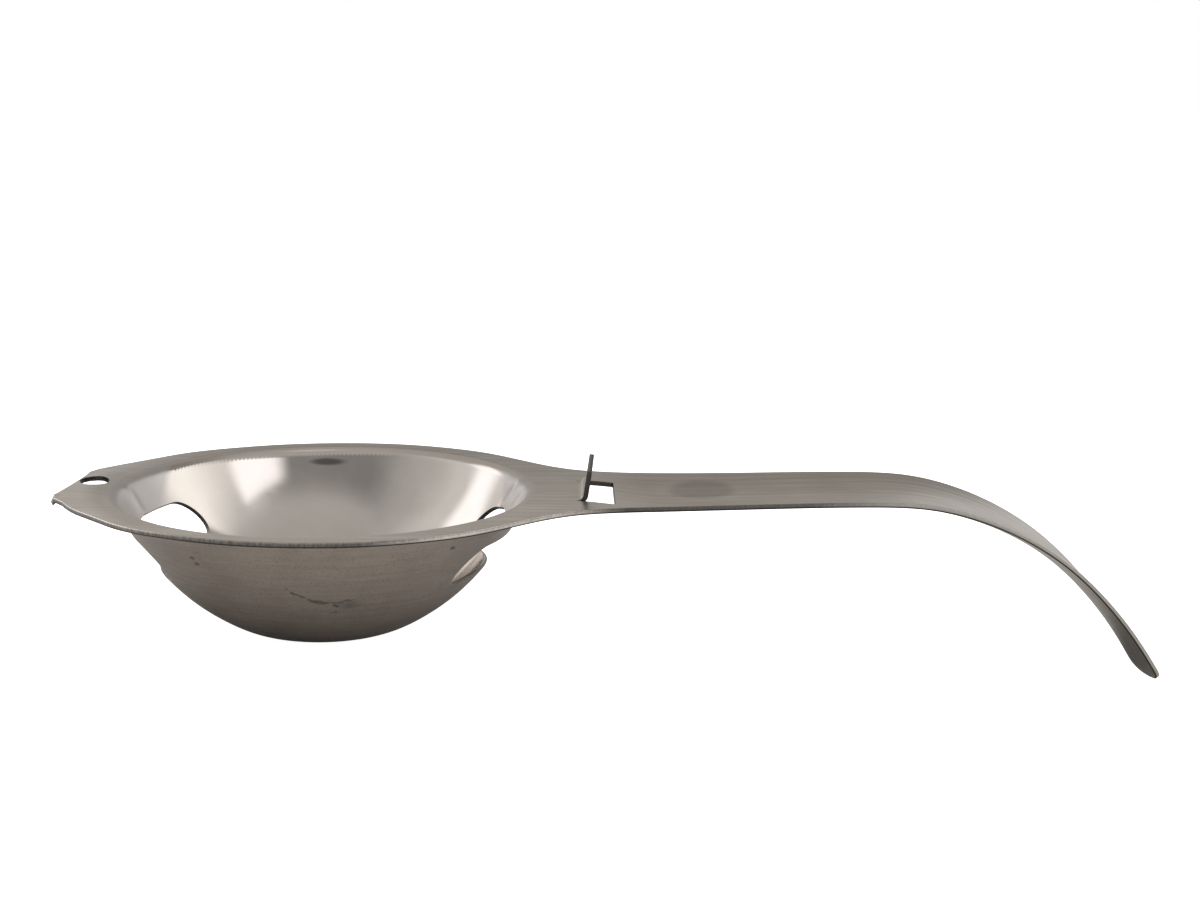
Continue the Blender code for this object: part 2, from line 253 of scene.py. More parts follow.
def surface(plan):
    """Points of the upper face and unit normals at plan points of the blank."""
    x, y = np.asarray(plan, float).T
    h = 0.01
    across = (height(x + h, y) - height(x - h, y)) / (2 * h)
    along = (height(x, y + h) - height(x, y - h)) / (2 * h)
    normal = np.stack([-across, -along, np.ones_like(x)], 1)
    normal /= np.linalg.norm(normal, axis=1)[:, None]
    place = np.stack([x, y, height(x, y)], 1)
    tab = on_tab(x, y)
    run = x[tab] - WINDOW_BACK
    turn = np.minimum(run / TAB_BEND_RADIUS, TAB_TURN)
    beyond = run - turn * TAB_BEND_RADIUS
    root = height(np.full(len(run), WINDOW_BACK), y[tab])
    skew = TAB_SKEW * (y[tab] - TAB_SIDES[0]) * smooth(run, 0, 2)
    place[tab, 0] = WINDOW_BACK + TAB_BEND_RADIUS * np.sin(turn) + beyond * np.cos(turn) + skew
    place[tab, 2] = root + TAB_BEND_RADIUS * (1 - np.cos(turn)) + beyond * np.sin(turn)
    normal[tab] = np.stack([-np.sin(turn), np.zeros_like(turn), np.cos(turn)], 1)
    return place, normal


# ---- Outlines in the plan

def arc(radius, start, end, count):
    """Points on a circle about the bowl's axis, between two angles."""
    return [(radius * math.cos(a), radius * math.sin(a)) for a in np.linspace(start, end, count)]


def resampled(loop, gap):
    """The closed loop with points at most gap apart along each side; its own points stay."""
    points = []
    for a, b in zip(loop, loop[1:] + loop[:1]):
        count = max(1, math.ceil(math.dist(a, b) / gap))
        points += [tuple(np.array(a) + (np.array(b) - np.array(a)) * k / count) for k in range(count)]
    return points


def rounded(loop, corners):
    """The closed loop with the points in corners, {index: radius}, replaced by arcs."""
    points = []
    for i, point in enumerate(loop):
        if i not in corners:
            points.append(point)
            continue
        here = Vector(point)
        before = (Vector(loop[i - 1]) - here).normalized()
        after = (Vector(loop[(i + 1) % len(loop)]) - here).normalized()
        opening = before.angle(after)
        back = corners[i] / math.tan(opening / 2)
        centre = here + (before + after).normalized() * corners[i] / math.sin(opening / 2)
        start, end = here + before * back - centre, here + after * back - centre
        for k in range(CORNER_STEPS + 1):
            spoke = start.lerp(end, k / CORNER_STEPS).normalized() * corners[i]
            points.append(tuple(centre + spoke))
    return points


def tip_points():
    """Rounded end of the handle, from its +Y side to its -Y side, and the X where the sides end."""
    xs = np.linspace(GRIP_START, HANDLE_TIP, 200)
    run = np.concatenate([[0], np.cumsum(np.hypot(np.diff(xs), np.diff(edge_height(xs))))])
    width = float(half_width(HANDLE_TIP))
    side = np.sin(np.linspace(math.pi / 2, 0, 8)) * TIP_CORNER + width - TIP_CORNER
    ys = np.concatenate([side, np.linspace(width - TIP_CORNER, -(width - TIP_CORNER), 22)[1:-1], -side[::-1]])
    past = np.clip(abs(ys) - (width - TIP_CORNER), 0, TIP_CORNER)
    corner = TIP_CORNER - np.sqrt(TIP_CORNER ** 2 - past ** 2)
    x = np.interp(run[-1] - corner - TIP_BOW * (ys / width) ** 2, run, xs)
    slope = edge_slope(x)
    x = x + dish(x) * (1 - (ys / width) ** 2) * slope / np.sqrt(1 + slope ** 2)
    return list(zip(x, ys)), x[0]


def blank_outline():
    """Outer edge of the blank, counter-clockwise from the far horn's flank round the front lip."""
    tip, sides_end = tip_points()
    xs = np.linspace(FLANK_END, sides_end, 240)
    flank = [(x, float(half_width(x))) for x in xs]
    hollow = LIP_FRONT - HORN_TIP[0]
    front = [(LIP_FRONT - hollow * (y / HORN_TIP[1]) ** 2 + LIP_SKEW * y, y)
             for y in np.linspace(1, -1, 25) * HORN_TIP[1]]
    near = [(x, -y) for x, y in flank]
    loop = front + near + tip[::-1][1:-1] + flank[::-1]
    corners = {0: FAR_HORN_ROUND, len(front) - 1: NEAR_HORN_ROUND, len(front): FLANK_ROUND,
               len(loop) - 1: FLANK_ROUND}
    return resampled(rounded(loop, corners), POINT_GAP)


def lip_hole():
    """The oval hole in the front lip."""
    angles = np.linspace(0, -2 * math.pi, 49)[:-1]
    x, y = LIP_HOLE
    return [(x + LIP_HOLE_HALF_DEPTH * math.cos(a), y + LIP_HOLE_HALF_WIDTH * math.sin(a)) for a in angles]


def clockwise(loop):
    """The loop, turned round if it runs counter-clockwise."""
    ring = np.array(loop)
    ahead = np.roll(ring, -1, axis=0)
    area = (ring[:, 0] * ahead[:, 1] - ahead[:, 0] * ring[:, 1]).sum()
    return loop if area < 0 else loop[::-1]


def slot_hole(side, middle, half_length):
    """Plan of a drain slot on the bowl's inner face: a stadium when seen along X."""
    flat = half_length - SLOT_END_RADIUS
    top = [(y, SLOT_END_RADIUS) for y in np.linspace(0, flat, 18, endpoint=False)]
    end = [(flat + SLOT_END_RADIUS * math.cos(a), SLOT_END_RADIUS * math.sin(a))
           for a in np.linspace(math.pi / 2, -math.pi / 2, 17)]
    bottom = [(y, -z + SLOT_PINCH_BOTTOM * (1 - (y / flat) ** 2)) for y, z in top[::-1]]
    half = top + end + bottom
    seen = half + [(-y, z) for y, z in half[::-1] if y > 0]
    radii = np.linspace(SLOT_SEARCH_START, BEND_END[0], 400)
    loop = []
    for y, z in seen:
        r = np.interp(SLOT_HEIGHT + z, bowl_wall(radii), radii)
        loop.append((side * math.sqrt(r * r - (middle + y) ** 2), middle + y))
    return clockwise(loop)


def window_hole():
    """The window and the slit round the tab, in the flat blank."""
    end = WINDOW_BACK + tab_length()
    near, far = TAB_SIDES
    window_near, window_far = WINDOW_NEAR_SIDES, WINDOW_FAR_SIDE
    loop = [(WINDOW_BACK, near), (end, near), (end, far), (WINDOW_BACK, far), (WINDOW_BACK, window_far),
            (WINDOW_FRONT, window_far), (WINDOW_FRONT, window_near[1]), (WINDOW_BACK, window_near[0])]
    corners = {1: TAB_CORNER, 2: TAB_CORNER, 5: WINDOW_CORNER, 6: WINDOW_CORNER}
    return resampled(clockwise(rounded(loop, corners)), LINE_GAP)


def edge_frame(place, normal):
    """Unit direction out of the sheet, in its own plane, at each point of a closed loop."""
    tangent = np.roll(place, -1, axis=0) - np.roll(place, 1, axis=0)
    out = np.cross(tangent, normal)
    return out / np.linalg.norm(out, axis=1)[:, None]


def inset(loop):
    """The loop moved into the steel by the rounding of the cut edge."""
    place, normal = surface(loop)
    return (place - EDGE_ROUND * edge_frame(place, normal))[:, :2]


def flat_inset(loop):
    """As inset, but within the flat blank, for the tab's slit."""
    ring = np.array(loop)
    ahead, behind = np.roll(ring, -1, axis=0) - ring, ring - np.roll(ring, 1, axis=0)
    sides = [np.stack([d[:, 1], -d[:, 0]], 1) / np.linalg.norm(d, axis=1)[:, None] for d in (ahead, behind)]
    middle = sides[0] + sides[1]
    middle /= (middle * sides[0]).sum(axis=1)[:, None]
    return ring - EDGE_ROUND * middle


def inside(points, loop):
    """Which points lie inside the closed loop."""
    x, y = points.T
    found = np.zeros(len(points), bool)
    for (ax, ay), (bx, by) in zip(loop, np.roll(loop, -1, axis=0)):
        if ay == by:
            continue
        crosses = (ay > y) != (by > y)
        found ^= crosses & (x < ax + (bx - ax) * (y - ay) / (by - ay))
    return found


# ---- Triangulated blank

def scattered_points():
    """Plan points that fill the blank: rings about the bowl's axis, then rows along the handle."""
    radii = np.concatenate([np.arange(POINT_GAP, BOWL_POINTS_END, POINT_GAP),
                            np.arange(*BEND_POINTS, BEND_GAP),
                            np.arange(*RIM_POINTS, RIM_GAP)])
    points = [(0.0, 0.0)]
    for k, r in enumerate(radii):
        count = int(2 * math.pi * r / POINT_GAP) + 6
        points += arc(r, k * RING_TURN, k * RING_TURN + 2 * math.pi, count + 1)[:-1]
    rings = np.array(points)
    rings = rings[rings[:, 0] < RINGS_END]
    rows = []
    for x in np.arange(ROWS_START, HANDLE_TIP, ROW_GAP):
        rows += [(x, v * float(half_width(x))) for v in np.linspace(-ROW_SHARE, ROW_SHARE, ROW_COUNT)]
    return np.vstack([rings, rows])


def near_lines(points, lines, gap):
    """Which points lie closer than gap to any point of the lines, which are taken in batches."""
    close = np.zeros(len(points), bool)
    batch = 64
    for start in range(0, len(lines), batch):
        away = points[:, None] - lines[None, start:start + batch]
        close |= ((away ** 2).sum(axis=2) < gap * gap).any(axis=1)
    return close


def straight(a, b):
    """Points on a straight line, at most LINE_GAP apart."""
    count = max(2, math.ceil(math.dist(a, b) / LINE_GAP) + 1)
    return np.array([np.array(a) + (np.array(b) - np.array(a)) * t for t in np.linspace(0, 1, count)])


def borders():
    """Open plan lines where one CAD node ends and the next begins. They overrun the blank's edges."""
    lip, root, grip = (float(half_width(x)) + BORDER_OVERRUN for x in (LIP_START, ROOT_START, GRIP_START))
    lip_in = math.sqrt(JOIN_RADIUS ** 2 - LIP_START ** 2)
    root_in = math.sqrt(JOIN_RADIUS ** 2 - ROOT_START ** 2)
    near, far = slit_middles()
    lines = [straight((GRIP_START, -grip), (GRIP_START, grip)),
             straight((WINDOW_BACK, near), (WINDOW_BACK, far))]
    for side in (-1, 1):
        lines.append(straight((LIP_START, side * lip_in), (LIP_START, side * lip)))
        lines.append(straight((ROOT_START, side * root_in), (ROOT_START, side * root)))
    return lines


def mouth_ring():
    """The bowl's border, with points where the lip's and the handle root's borders meet it."""
    meets = [math.acos(ROOT_START / JOIN_RADIUS), math.acos(LIP_START / JOIN_RADIUS)]
    stops = [-meets[0], meets[0], meets[1], 2 * math.pi - meets[1], 2 * math.pi - meets[0]]
    ring = []
    for start, end in zip(stops, stops[1:]):
        ring += arc(JOIN_RADIUS, start, end, math.ceil((end - start) * JOIN_RADIUS / MOUTH_GAP) + 1)[:-1]
    return np.array(ring)


def region_of(middles):
    """Name of the CAD node that each plan point belongs to."""
    x, y = middles.T
    names = np.where(y > 0, "right_rim", "left_rim").astype(object)
    names[x < LIP_START] = "front_lip"
    names[x > ROOT_START] = "handle_root"
    names[x > GRIP_START] = "handle_grip"
    names[np.hypot(x, y) < JOIN_RADIUS * 0.9999] = "strainer_bowl"
    names[on_tab(x, y)] = "rest_tab"
    return names


def triangulate():
    """Plan points, counter-clockwise triangles and the region of each triangle."""
    outer = inset(blank_outline())
    holes = [inset(lip_hole())] + [inset(slot_hole(*slot)) for slot in SLOTS] + [flat_inset(window_hole())]
    closed = [outer] + holes + [mouth_ring()]
    lines = borders()
    fixed = np.vstack(closed + lines)
    fill = scattered_points()
    fill = fill[inside(fill, outer) & ~near_lines(fill, fixed, LINE_CLEARANCE)]
    points, edges = [], []
    for loop in closed:
        first = len(points)
        points += list(loop)
        edges += [(first + k, first + (k + 1) % len(loop)) for k in range(len(loop))]
    for line in lines:
        first = len(points)
        points += list(line)
        edges += [(first + k, first + k + 1) for k in range(len(line) - 1)]
    points += list(fill)
    made = delaunay_2d_cdt([Vector(p) for p in points], edges, [], 0, 1e-5, False)
    plan = np.array([tuple(v) for v in made[0]])
    triangles = np.array([tuple(f) for f in made[2]])
    middles = plan[triangles].mean(axis=1)
    keep = inside(middles, outer)
    for hole in holes:
        keep &= ~inside(middles, hole)
    triangles, middles = triangles[keep], middles[keep]
    a, b, c = (plan[triangles[:, k]] for k in range(3))
    turned = (b[:, 0] - a[:, 0]) * (c[:, 1] - a[:, 1]) - (b[:, 1] - a[:, 1]) * (c[:, 0] - a[:, 0]) < 0
    triangles[turned] = triangles[turned][:, ::-1]
    return plan, triangles, region_of(middles)


# ---- Steel sheet with thickness and cut edges

def edge_profile(place, normal, out):
    """Rings of the cut edge from the upper face down, as points, normals and share of the sheet's depth."""
    upper, lower = [], []
    foot = place - SHEET * normal
    for a in np.linspace(0, math.pi / 2, EDGE_STEPS + 1)[1:]:
        reach = EDGE_ROUND * math.sin(a) * out
        fall = EDGE_ROUND * (1 - math.cos(a))
        share = fall / SHEET
        upper.append((place + reach - fall * normal, math.sin(a) * out + math.cos(a) * normal, share))
        lower.append((foot + reach + fall * normal, math.sin(a) * out - math.cos(a) * normal, 1 - share))
    return upper + lower[::-1]


def grain_of(plan, place):
    """Coordinates in millimetres for the steel's grain: stretched round the bowl, and along X elsewhere."""
    x, y = plan.T
    r = np.hypot(x, y)
    run = np.interp(x, *handle_run())
    spoke = plan / np.maximum(r, 1e-6)[:, None] * GRAIN_RADIUS
    bowl = np.column_stack([spoke, place[:, 2] * GRAIN_RISE + r])
    flat = np.stack([run, np.zeros_like(x), y], 1)
    return np.where((r < JOIN_RADIUS)[:, None], bowl, flat), np.stack([run, y], 1)


def handle_run():
    """X along the blank and the length along the sheet there."""
    xs = np.linspace(*RUN_SPAN, 600)
    heights = edge_height(np.maximum(xs, RUN_LEVEL_END))
    return xs, RUN_SPAN[0] + np.concatenate([[0], np.cumsum(np.hypot(np.diff(xs), np.diff(heights)))])


def inner_edges(plan):
    """1 at points on or close to the edge of a hole and 0 at all others."""
    holes = [lip_hole(), window_hole()] + [slot_hole(*slot) for slot in SLOTS]
    return near_lines(plan, np.vstack(holes), HOLE_EDGE_REACH).astype(float)


def build_sheet():
    """Everything that the pieces are parted from, as arrays over the plan's points."""
    plan, triangles, regions = triangulate()
    place, normal = surface(plan)
    owner = {}
    for number, (a, b, c) in enumerate(triangles):
        for edge in ((a, b), (b, c), (c, a)):
            owner[edge] = number
    rims = {edge for edge in owner if (edge[1], edge[0]) not in owner}
    tangent = np.zeros_like(place)
    for a, b in rims:
        step = place[b] - place[a]
        step /= np.linalg.norm(step)
        tangent[a] += step
        tangent[b] += step
    out = np.cross(tangent, normal)
    size = np.linalg.norm(out, axis=1)[:, None]
    out = np.where(size > 1e-9, out / np.maximum(size, 1e-9), 0)
    rings = edge_profile(place, normal, out)
    grain, flat = grain_of(plan, place)
    return {"plan": plan, "triangles": triangles, "regions": regions, "owner": owner, "rims": rims,
            "top": (place, normal, 0.0), "bottom": (place - SHEET * normal, -normal, 1.0), "rings": rings,
            "inner": inner_edges(plan), "grain": grain, "flat": flat}


def part_faces(sheet, name):
    """The shown faces of one region and its hidden caps. A face is a list of (point, level).

    Level 0 is the upper face, the rings of the cut edge follow, and the last level is the lower face."""
    last = len(sheet["rings"]) + 1
    mine = np.where(sheet["regions"] == name)[0]
    mine_set = set(mine.tolist())
    faces, caps = [], []
    cut_from, cut_to, cap_from, cap_to = set(), set(), set(), set()
    for number in mine:
        a, b, c = (int(v) for v in sheet["triangles"][number])
        faces.append([(a, 0), (b, 0), (c, 0)])
        faces.append([(a, last), (c, last), (b, last)])
        for p, q in ((a, b), (b, c), (c, a)):
            if (p, q) in sheet["rims"]:
                faces += [[(q, k), (p, k), (p, k + 1), (q, k + 1)] for k in range(last)]
                cut_from.add(p)
                cut_to.add(q)
            elif sheet["owner"][(q, p)] not in mine_set:
                caps.append([(q, 0), (p, 0), (p, last), (q, last)])
                cap_from.add(p)
                cap_to.add(q)
    for v in cap_to & cut_from:
        caps.append([(v, 0)] + [(v, k) for k in range(last, 0, -1)])
    for v in cap_from & cut_to:
        caps.append([(v, k) for k in range(last + 1)])
    return faces, caps


def make_piece(sheet, region, name, pose, material):
    """Closed mesh object of one region, in the row frame, with the attributes that materials read."""
    last = len(sheet["rings"]) + 1
    levels = [sheet["top"]] + sheet["rings"] + [sheet["bottom"]]
    faces, caps = part_faces(sheet, region)
    keys = sorted({key for face in faces + caps for key in face})
    number = {key: k for k, key in enumerate(keys)}
    place = np.array([levels[k][0][v] for v, k in keys])
    normal = np.array([levels[k][1][v] for v, k in keys])
    data = bpy.data.meshes.new(name)
    to_row = np.array(pose)
    world = place * MM @ to_row[:3, :3].T + to_row[:3, 3]
    data.from_pydata(world.tolist(), [], [[number[key] for key in face] for face in faces + caps])
    data.shade_smooth()
    turned = normal @ to_row[:3, :3].T
    loops = np.empty(len(data.loops), int)
    data.loops.foreach_get("vertex_index", loops)
    shading = turned[loops]
    # Zero leaves the hidden caps with the normals of their own faces.
    shown = sum(len(face) for face in faces)
    shading[shown:] = 0
    data.normals_split_custom_set(shading.tolist())
    points = [v for v, k in keys]
    level = np.array([k for v, k in keys], float)
    values = {"cut": ((level > 0) & (level < last)).astype(float), "upper": 1 - smooth(level, 0.5, 1.5),
              "depth": np.array([levels[k][2] for v, k in keys]), "inner": sheet["inner"][points]}
    for title, amounts in values.items():
        data.attributes.new(title, "FLOAT", "POINT").data.foreach_set("value", amounts.astype(np.float32))
    for title, places in (("design", place), ("grain", sheet["grain"][points])):
        layer = data.attributes.new(title, "FLOAT_VECTOR", "POINT")
        layer.data.foreach_set("vector", places.astype(np.float32).ravel())
    uv = data.uv_layers.new(name="blank")
    on_map = sheet["flat"][points] / MAP_LENGTH + MAP_SHIFT
    uv.data.foreach_set("uv", on_map[loops].astype(np.float32).ravel())
    data.materials.append(material)
    piece = bpy.data.objects.new(name, data)
    bpy.context.scene.collection.objects.link(piece)
    return piece


def rest_pose():
    """From the design frame to the row frame, found from the mount on the rim's upper face."""
    mount = next(m for m in frame["record"]["mounts"] if m["name"] == "rim_top")
    lean = math.atan2(mount["axis"][0], mount["axis"][2])
    turn = Matrix.Rotation(lean, 4, "Y")
    on_rim = Vector(MOUNT_AT) * MM
    return Matrix.Translation(Vector(mount["pos_m"]) - turn @ on_rim) @ turn


# ---- Material nodes

# Share of a stroke's width that is at full strength, and the depth of the bump in metres.
STROKE_CORE = 0.35
BUMP_DEPTH = 0.00004


def add(tree, kind, inputs=None, **settings):
    """A new node, with each input linked to a socket or set to a value."""
    made = tree.nodes.new(kind)
    for key, value in settings.items():
        setattr(made, key, value)
    for key, value in (inputs or {}).items():
        if isinstance(value, bpy.types.NodeSocket):
            tree.links.new(value, made.inputs[key])
        else:
            made.inputs[key].default_value = value
    return made


def attribute(tree, name, output="Fac"):
    return add(tree, "ShaderNodeAttribute", attribute_name=name).outputs[output]


def maths(tree, operation, a, b=0.0, clamp=False):
    return add(tree, "ShaderNodeMath", {0: a, 1: b}, operation=operation, use_clamp=clamp).outputs[0]


def ramp(tree, value, low, high, to_low=0.0, to_high=1.0):
    """A smooth step from to_low at low to to_high at high."""
    inputs = {"Value": value, "From Min": low, "From Max": high, "To Min": to_low, "To Max": to_high}
    return add(tree, "ShaderNodeMapRange", inputs, interpolation_type="SMOOTHSTEP").outputs["Result"]


def mix(tree, factor, a, b):
    """Colour a at factor 0 and b at factor 1. Each can be a socket or a value."""
    node = add(tree, "ShaderNodeMix", data_type="RGBA")
    for key, value in (("Factor_Float", factor), ("A_Color", a), ("B_Color", b)):
        socket = next(s for s in node.inputs if s.identifier == key)
        if isinstance(value, bpy.types.NodeSocket):
            tree.links.new(value, socket)
        else:
            socket.default_value = (*value, 1) if isinstance(value, tuple) else value
    return next(s for s in node.outputs if s.identifier == "Result_Color")


def noise(tree, vector, scale, detail, roughness):
    inputs = {"Vector": vector, "Scale": scale, "Detail": detail, "Roughness": roughness}
    return add(tree, "ShaderNodeTexNoise", inputs).outputs["Fac"]


def vectors(tree, operation, a, b, output="Vector"):
    return add(tree, "ShaderNodeVectorMath", {0: a, 1: b}, operation=operation).outputs[output]


def stretched(tree, vector, factors):
    return vectors(tree, "MULTIPLY", vector, factors)


def scaled(tree, vector, factor):
    inputs = {0: vector, "Scale": factor}
    return add(tree, "ShaderNodeVectorMath", inputs, operation="SCALE").outputs["Vector"]


def length(tree, vector):
    return add(tree, "ShaderNodeVectorMath", {0: vector}, operation="LENGTH").outputs["Value"]


def spot(tree, where, centre, radii, soft):
    """1 inside an ellipsoid about centre, in design millimetres, fading to 0 at its surface."""
    away = stretched(tree, vectors(tree, "SUBTRACT", where, centre), tuple(1 / r for r in radii))
    return ramp(tree, length(tree, away), 1 - soft, 1, 1, 0)


def largest(tree, masks):
    """The largest of several masks."""
    most = masks[0]
    for mask in masks[1:]:
        most = maths(tree, "MAXIMUM", most, mask)
    return most


def part(tree, vector, axis):
    return add(tree, "ShaderNodeSeparateXYZ", {0: vector}).outputs[axis]


def mouth_distance(tree, where):
    """Distance from the bowl's axis."""
    return length(tree, stretched(tree, where, (1, 1, 0)))


def window(tree, value, start, full, fade, end):
    """1 between full and fade, 0 outside start to end."""
    return maths(tree, "MULTIPLY", ramp(tree, value, start, full), ramp(tree, value, fade, end, 1, 0))


def stroke(tree, where, start, end, width):
    """1 on the straight line between two points, in design millimetres, fading to 0 at width."""
    along = Vector(end) - Vector(start)
    from_start = vectors(tree, "SUBTRACT", where, start)
    share = vectors(tree, "DOT_PRODUCT", from_start, tuple(along / along.length_squared), "Value")
    share = maths(tree, "ADD", share, 0.0, clamp=True)
    away = vectors(tree, "DISTANCE", from_start, scaled(tree, tuple(along), share), "Value")
    return ramp(tree, away, width * STROKE_CORE, width, 1, 0)


def new_material(name, anisotropy=0.0):
    """A metal. With anisotropy, its highlights stretch by the direction of the map."""
    material = bpy.data.materials.new(name)
    material.use_nodes = True
    tree = material.node_tree
    shader = tree.nodes["Principled BSDF"]
    shader.inputs["Metallic"].default_value = 1.0
    shader.inputs["Anisotropic"].default_value = anisotropy
    if anisotropy:
        along = add(tree, "ShaderNodeTangent", direction_type="UV_MAP", uv_map="blank")
        tree.links.new(along.outputs[0], shader.inputs["Tangent"])
    return material, tree, shader


def add_bump(tree, shader, relief, strength):
    inputs = {"Height": relief, "Strength": strength, "Distance": BUMP_DEPTH}
    bump = add(tree, "ShaderNodeBump", inputs)
    tree.links.new(bump.outputs[0], shader.inputs["Normal"])


def curve(tree, value, stops):
    """A piecewise linear function of a value, from (value, result) stops."""
    low, high = stops[0][0], stops[-1][0]
    least, most = min(y for _, y in stops), max(y for _, y in stops)
    points = [((x - low) / (high - low), (y - least) / (most - least)) for x, y in stops]
    share = maths(tree, "DIVIDE", maths(tree, "SUBTRACT", value, low), high - low)
    node = add(tree, "ShaderNodeFloatCurve", {"Value": share})
    line = node.mapping.curves[0]
    for point in points[1:-1]:
        line.points.new(*point)
    line.points[0].location = points[0]
    line.points[len(points) - 1].location = points[-1]
    for point in line.points:
        point.handle_type = "VECTOR"
    node.mapping.update()
    return maths(tree, "ADD", maths(tree, "MULTIPLY", node.outputs[0], most - least), least)


# Brightness of the sheared edge along X: its rolled-over top, its middle and its torn foot. Its bright
# stretches, most at the lip and at the handle's neck, are painted highlights.
EDGE_TOP = [(-50, 0.99), (-28, 0.96), (-16, 0.4), (14, 0.33), (24, 0.6), (44, 0.55), (54, 0.18),
            (88, 0.22), (104, 0.6), (155, 0.62)]
EDGE_MIDDLE = [(-50, 0.42), (-28, 0.42), (-16, 0.27), (10, 0.2), (24, 0.98), (42, 0.92), (54, 0.15),
               (86, 0.19), (102, 0.55), (155, 0.6)]
EDGE_FOOT = [(-50, 0.2), (-28, 0.18), (-16, 0.08), (16, 0.08), (40, 0.1), (54, 0.04), (90, 0.07),
             (155, 0.06)]
# How far the sheared edge's ticks are smoothed away along X.
EDGE_CALM = [(-50, 0.6), (-36, 0.6), (-30, 0), (6, 0), (20, 0.65), (88, 0.65), (104, 0.8), (155, 0.8)]
# Depths, as shares of the sheet, over which the top gives way to the middle and the middle to the foot.
EDGE_TOP_ENDS = (0.18, 0.3)
EDGE_FOOT_STARTS = (0.64, 0.8)
EDGE_COLOUR = (1.0, 0.935, 0.865)
BLACK = (0, 0, 0)
MIDDLE = (0.5, 0.5, 0.5)


def cut_edge(tree, where, base, rough):
    """Mixes the sheared edge into a colour and a roughness. The edges of holes get painted shade."""
    cut, depth = attribute(tree, "cut"), attribute(tree, "depth")
    ticks = noise(tree, stretched(tree, where, (2.2, 2.2, 0.9)), 1.0, 2.0, 0.6)
    along = part(tree, where, "X")
    ticks = mix(tree, curve(tree, along, EDGE_CALM), ticks, MIDDLE)
    uneven = maths(tree, "MULTIPLY", maths(tree, "SUBTRACT", ticks, 0.5), 0.3)
    level = maths(tree, "ADD", depth, uneven)
    top, middle, foot = (curve(tree, along, stops) for stops in (EDGE_TOP, EDGE_MIDDLE, EDGE_FOOT))
    shade = mix(tree, ramp(tree, level, *EDGE_TOP_ENDS), top, middle)
    shade = mix(tree, ramp(tree, level, *EDGE_FOOT_STARTS), shade, foot)
    # Painted shade on the edges of holes, lighter on the slots' lower edges than on their upper ones.
    dimmer = ramp(tree, part(tree, where, "Z"), -13.2, -10.5, 0.34, 0.1)
    shade = mix(tree, attribute(tree, "inner"), shade, dimmer)
    shade = maths(tree, "MULTIPLY", shade, ramp(tree, ticks, 0.3, 0.7, 0.65, 1.2))
    colour = mix(tree, cut, base, mix(tree, shade, BLACK, EDGE_COLOUR))
    away = maths(tree, "SUBTRACT", ramp(tree, level, 0.2, 0.7, 0.25, 0.55), rough)
    return colour, maths(tree, "ADD", rough, maths(tree, "MULTIPLY", away, cut))


# Colours of the satin steel: its grain, the worn patches, the painted sheen on the lip, the shade under
# the handle's tip, the painted shade round the mouth, the stain and the pits.
GRAIN_DARK, GRAIN_LIGHT = (0.485, 0.445, 0.402), (0.67, 0.622, 0.566)
WORN = (0.485, 0.44, 0.387)
LIP_SHEEN = (0.66, 0.64, 0.635)
TIP_SHADE = (0.16, 0.15, 0.14)
MOUTH_SHADE = (0.34, 0.305, 0.265)
STAIN = (0.26, 0.225, 0.205)
PIT = (0.2, 0.185, 0.17)
SATIN_ANISOTROPY = 0.45


def satin_steel():
    """Fine grain along X, cloudy patches, a dull stain on the handle and sheared edges."""
    material, tree, shader = new_material("satin_steel_sheet", SATIN_ANISOTROPY)
    where = attribute(tree, "design", "Vector")
    grain = attribute(tree, "grain", "Vector")
    fine = noise(tree, stretched(tree, grain, (0.06, 1, 5.0)), 1.0, 4.0, 0.65)
    broad = noise(tree, stretched(tree, grain, (0.02, 1, 0.9)), 1.0, 3.0, 0.55)
    clouds = noise(tree, where, 0.09, 3.0, 0.55)
    pits = noise(tree, where, 2.2, 2.0, 0.6)
    tone = maths(tree, "ADD", maths(tree, "MULTIPLY", fine, 0.5), maths(tree, "MULTIPLY", broad, 0.5))
    colour = mix(tree, ramp(tree, tone, 0.36, 0.64), GRAIN_DARK, GRAIN_LIGHT)
    colour = mix(tree, ramp(tree, clouds, 0.4, 0.7, 0, 0.5), colour, WORN)
    # Painted light: lighter on the near side, at the lip and on the handle's end, and darker towards the far
    # side, as the light falls on the rim.
    along = part(tree, where, "X")
    painted_light = ramp(tree, part(tree, where, "Y"), -24, 36, 1.08, 0.68)
    painted_light = maths(tree, "MULTIPLY", painted_light, ramp(tree, along, -36, -20, 1.22, 1.0))
    painted_light = maths(tree, "MULTIPLY", painted_light, ramp(tree, along, 92, 128, 1.0, 1.12))
    colour = scaled(tree, colour, painted_light)
    # Painted light: a lighter, more neutral sheen on the lip.
    colour = mix(tree, ramp(tree, along, -38, -26, 0.4, 0), colour, LIP_SHEEN)
    under = maths(tree, "SUBTRACT", 1.0, attribute(tree, "upper"))
    under = maths(tree, "MULTIPLY", under, ramp(tree, along, 132, 146, 0, 0.5))
    colour = mix(tree, under, colour, TIP_SHADE)
    # Painted shade round the mouth, strongest towards the lip, where the rim dips into the bowl's bend.
    mouth_shade = window(tree, mouth_distance(tree, where), 36.5, 38, 39, 43)
    mouth_shade = maths(tree, "MULTIPLY", mouth_shade, ramp(tree, along, -18, -34, 0, 0.45))
    colour = mix(tree, mouth_shade, colour, MOUTH_SHADE)
    stain = spot(tree, where, STAIN_AT, STAIN_RADII, 0.4)
    colour = mix(tree, maths(tree, "MULTIPLY", stain, 0.5), colour, STAIN)
    colour = mix(tree, ramp(tree, pits, 0.68, 0.78, 0, 0.35), colour, PIT)
    rough = ramp(tree, tone, 0.3, 0.7, 0.40, 0.30)
    rough = maths(tree, "ADD", rough, maths(tree, "MULTIPLY", stain, 0.08))
    colour, rough = cut_edge(tree, where, colour, rough)
    tree.links.new(colour, shader.inputs["Base Color"])
    tree.links.new(rough, shader.inputs["Roughness"])
    add_bump(tree, shader, fine, 0.12)
    return material
